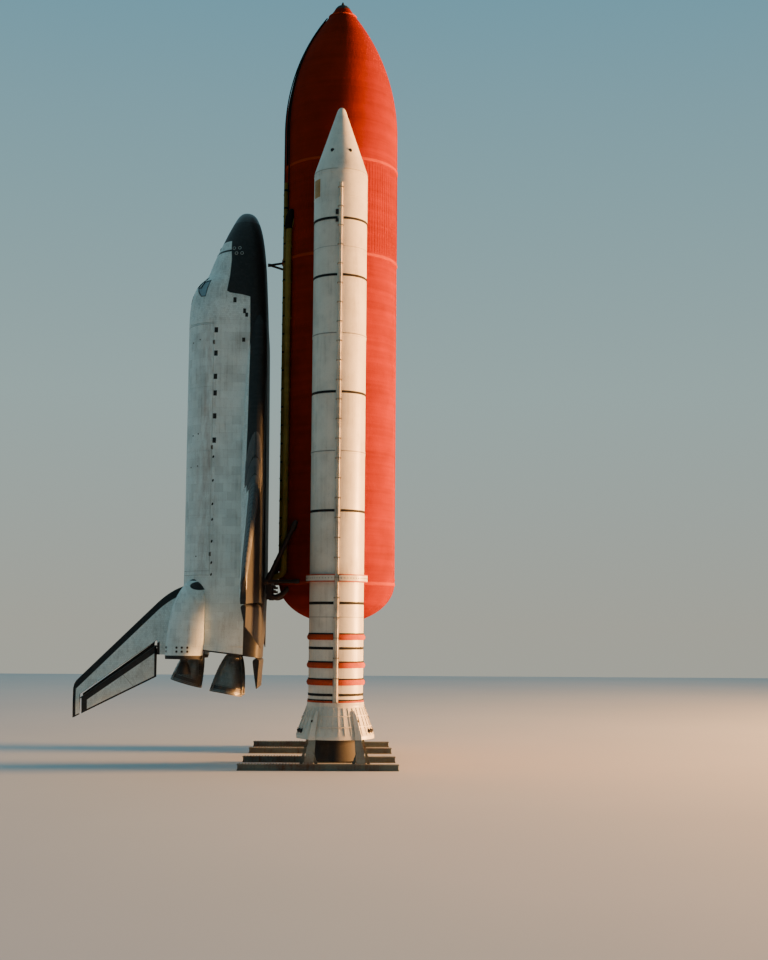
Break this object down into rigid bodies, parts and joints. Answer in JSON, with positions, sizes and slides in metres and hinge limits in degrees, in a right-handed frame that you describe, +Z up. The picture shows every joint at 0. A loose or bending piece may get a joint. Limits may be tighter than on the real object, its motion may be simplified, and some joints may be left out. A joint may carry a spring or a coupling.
{
  "type": "space shuttle launch stack, half-size scale model",
  "caption": "Winged orbiter on an external tank with two solid boosters, standing upright on its hold-down posts, at half size.",
  "frame": {"origin": "on the floor under the middle of the outline", "axes": "+Z up towards the nose, +X from the orbiter to the tank, +Y to the orbiter's left wing"},
  "size_m": [11.552, 11.8872, 28.3146],
  "materials": {
    "white_tile": "matt white tiles and quilted blankets over an aluminium skin",
    "black_tile": "satin black tiles over an aluminium skin",
    "grey_carbon": "matt grey reinforced carbon",
    "window_glass": "dark coated glass",
    "tank_foam": "rough orange foam sprayed over an aluminium tank",
    "tank_metal": "dull grey fittings",
    "booster_paint": "white painted steel with dark bands",
    "engine_metal": "heat-stained metal",
    "haunch_paint": "grey-green painted steel, scorched"
  },
  "bodies": {
    "airframe": {"aft_fuselage": "white_tile", "aft_skirt_left": "booster_paint", "aft_skirt_right": "booster_paint", "aft_strut_frame": "tank_foam", "attach_ring_left": "booster_paint", "attach_ring_right": "booster_paint", "base_heat_shield": "black_tile", "booster_forward_skirt_left": "booster_paint", "booster_forward_skirt_right": "booster_paint", "booster_motor_case_left": "booster_paint", "booster_motor_case_right": "booster_paint", "booster_nose_cone_left": "booster_paint", "booster_nose_cone_right": "booster_paint", "cable_tray": "tank_foam", "forward_bipod": "tank_metal", "forward_fuselage": "white_tile", "holddown_haunch_left_inner": "haunch_paint", "holddown_haunch_left_outer": "haunch_paint", "holddown_haunch_right_inner": "haunch_paint", "holddown_haunch_right_outer": "haunch_paint", "hydrogen_tank": "tank_foam", "intertank": "tank_foam", "maneuvering_nozzle_left": "grey_carbon", "maneuvering_nozzle_right": "grey_carbon", "maneuvering_pod_left": "white_tile", "maneuvering_pod_right": "white_tile", "mid_fuselage": "white_tile", "nose_cap": "grey_carbon", "oxygen_feedline": "tank_foam", "oxygen_tank": "tank_foam", "systems_tunnel_left": "booster_paint", "systems_tunnel_right": "booster_paint", "tank_nose_spike": "tank_metal", "vertical_fin": "white_tile", "windshield_panes": "window_glass", "wing_leading_edge_left": "grey_carbon", "wing_leading_edge_right": "grey_carbon", "wing_left": "white_tile", "wing_right": "white_tile"},
    "elevon_inboard_right": {"elevon_inboard_right": "white_tile"},
    "elevon_outboard_right": {"elevon_outboard_right": "white_tile"},
    "elevon_inboard_left": {"elevon_inboard_left": "white_tile"},
    "elevon_outboard_left": {"elevon_outboard_left": "white_tile"},
    "body_flap": {"body_flap": "black_tile"},
    "rudder_tube": {"rudder_torque_tube": "engine_metal"},
    "rudder_panel_right": {"rudder_panel_right": "white_tile"},
    "rudder_panel_left": {"rudder_panel_left": "white_tile"},
    "payload_bay_door_right": {"payload_bay_door_right": "white_tile"},
    "payload_bay_door_left": {"payload_bay_door_left": "white_tile"},
    "side_hatch": {"side_hatch": "white_tile"},
    "engine_gimbal_upper": {"engine_gimbal_upper": "engine_metal"},
    "main_engine_upper": {"main_engine_upper": "engine_metal"},
    "engine_gimbal_right": {"engine_gimbal_right": "engine_metal"},
    "main_engine_right": {"main_engine_right": "engine_metal"},
    "engine_gimbal_left": {"engine_gimbal_left": "engine_metal"},
    "main_engine_left": {"main_engine_left": "engine_metal"},
    "nozzle_bearing_right": {"nozzle_bearing_right": "engine_metal"},
    "booster_nozzle_right": {"booster_nozzle_right": "engine_metal"},
    "nozzle_bearing_left": {"nozzle_bearing_left": "engine_metal"},
    "booster_nozzle_left": {"booster_nozzle_left": "engine_metal"}
  },
  "joints": [
    {"name": "elevon_inboard_right_hinge", "type": "hinge", "parent": "airframe", "child": "elevon_inboard_right", "pos_m": [0.85705, -1.5748, 5.2832], "axis": [-0.0487, -0.9988, 0], "range_deg": [-35, 20]},
    {"name": "elevon_outboard_right_hinge", "type": "hinge", "parent": "airframe", "child": "elevon_outboard_right", "pos_m": [0.73902, -4.0005, 5.2832], "axis": [-0.0432, -0.9991, 0], "range_deg": [-35, 20]},
    {"name": "elevon_inboard_left_hinge", "type": "hinge", "parent": "airframe", "child": "elevon_inboard_left", "pos_m": [0.85705, 1.5748, 5.2832], "axis": [0.0487, -0.9988, 0], "range_deg": [-35, 20]},
    {"name": "elevon_outboard_left_hinge", "type": "hinge", "parent": "airframe", "child": "elevon_outboard_left", "pos_m": [0.73902, 4.0005, 5.2832], "axis": [0.0432, -0.9991, 0], "range_deg": [-35, 20]},
    {"name": "body_flap_hinge", "type": "hinge", "parent": "airframe", "child": "body_flap", "pos_m": [0.84074, 0, 3.429], "axis": [0, -1, 0], "range_deg": [-11.7, 22.55]},
    {"name": "rudder_hinge", "type": "hinge", "parent": "airframe", "child": "rudder_tube", "pos_m": [-2.80416, 0, 3.9751], "axis": [-0.8192, 0, -0.5735], "range_deg": [-27.1, 27.1]},
    {"name": "speed_brake_right_hinge", "type": "hinge", "parent": "rudder_tube", "child": "rudder_panel_right", "pos_m": [-2.80416, 0, 3.9751], "axis": [-0.8192, 0, -0.5735], "range_deg": [0, 49.3]},
    {"name": "speed_brake_left_hinge", "type": "hinge", "parent": "rudder_tube", "child": "rudder_panel_left", "pos_m": [-2.80416, 0, 3.9751], "axis": [0.8192, 0, 0.5735], "range_deg": [0, 49.3]},
    {"name": "bay_door_right_hinge", "type": "hinge", "parent": "airframe", "child": "payload_bay_door_right", "pos_m": [-0.88519, -1.31572, 15.6083], "axis": [0, 0, 1], "range_deg": [0, 175.5]},
    {"name": "bay_door_left_hinge", "type": "hinge", "parent": "airframe", "child": "payload_bay_door_left", "pos_m": [-0.88519, 1.31572, 15.6083], "axis": [0, 0, -1], "range_deg": [0, 175.5]},
    {"name": "side_hatch_hinge", "type": "hinge", "parent": "airframe", "child": "side_hatch", "pos_m": [0.00381, 1.30619, 16.5735], "axis": [0, 0, -1], "range_deg": [0, 90]},
    {"name": "main_engine_upper_pitch", "type": "hinge", "parent": "airframe", "child": "engine_gimbal_upper", "pos_m": [-1.16586, 0, 4.6482], "axis": [0, -1, 0], "range_deg": [-10.5, 10.5]},
    {"name": "main_engine_upper_yaw", "type": "hinge", "parent": "engine_gimbal_upper", "child": "main_engine_upper", "pos_m": [-1.16586, 0, 4.6482], "axis": [-0.9613, 0, 0.2756], "range_deg": [-8.5, 8.5]},
    {"name": "main_engine_right_pitch", "type": "hinge", "parent": "airframe", "child": "engine_gimbal_right", "pos_m": [0.10922, -0.6731, 4.3561], "axis": [0, -1, 0], "range_deg": [-10.5, 10.5]},
    {"name": "main_engine_right_yaw", "type": "hinge", "parent": "engine_gimbal_right", "child": "main_engine_right", "pos_m": [0.10922, -0.6731, 4.3561], "axis": [-0.9848, 0, 0.174], "range_deg": [-8.5, 8.5]},
    {"name": "main_engine_left_pitch", "type": "hinge", "parent": "airframe", "child": "engine_gimbal_left", "pos_m": [0.10922, 0.6731, 4.3561], "axis": [0, -1, 0], "range_deg": [-10.5, 10.5]},
    {"name": "main_engine_left_yaw", "type": "hinge", "parent": "engine_gimbal_left", "child": "main_engine_left", "pos_m": [0.10922, 0.6731, 4.3561], "axis": [-0.9848, 0, 0.174], "range_deg": [-8.5, 8.5]},
    {"name": "booster_nozzle_right_rock", "type": "hinge", "parent": "airframe", "child": "nozzle_bearing_right", "pos_m": [3.65379, -3.18135, 1.7907], "axis": [1, 0, 0], "range_deg": [-8, 8]},
    {"name": "booster_nozzle_right_tilt", "type": "hinge", "parent": "nozzle_bearing_right", "child": "booster_nozzle_right", "pos_m": [3.65379, -3.18135, 1.7907], "axis": [0, 1, 0], "range_deg": [-8, 8]},
    {"name": "booster_nozzle_left_rock", "type": "hinge", "parent": "airframe", "child": "nozzle_bearing_left", "pos_m": [3.65379, 3.18135, 1.7907], "axis": [1, 0, 0], "range_deg": [-8, 8]},
    {"name": "booster_nozzle_left_tilt", "type": "hinge", "parent": "nozzle_bearing_left", "child": "booster_nozzle_left", "pos_m": [3.65379, 3.18135, 1.7907], "axis": [0, 1, 0], "range_deg": [-8, 8]}
  ],
  "couplings": [
    {"joint": "speed_brake_left_hinge", "follows": "speed_brake_right_hinge", "ratio": 1}
  ]
}
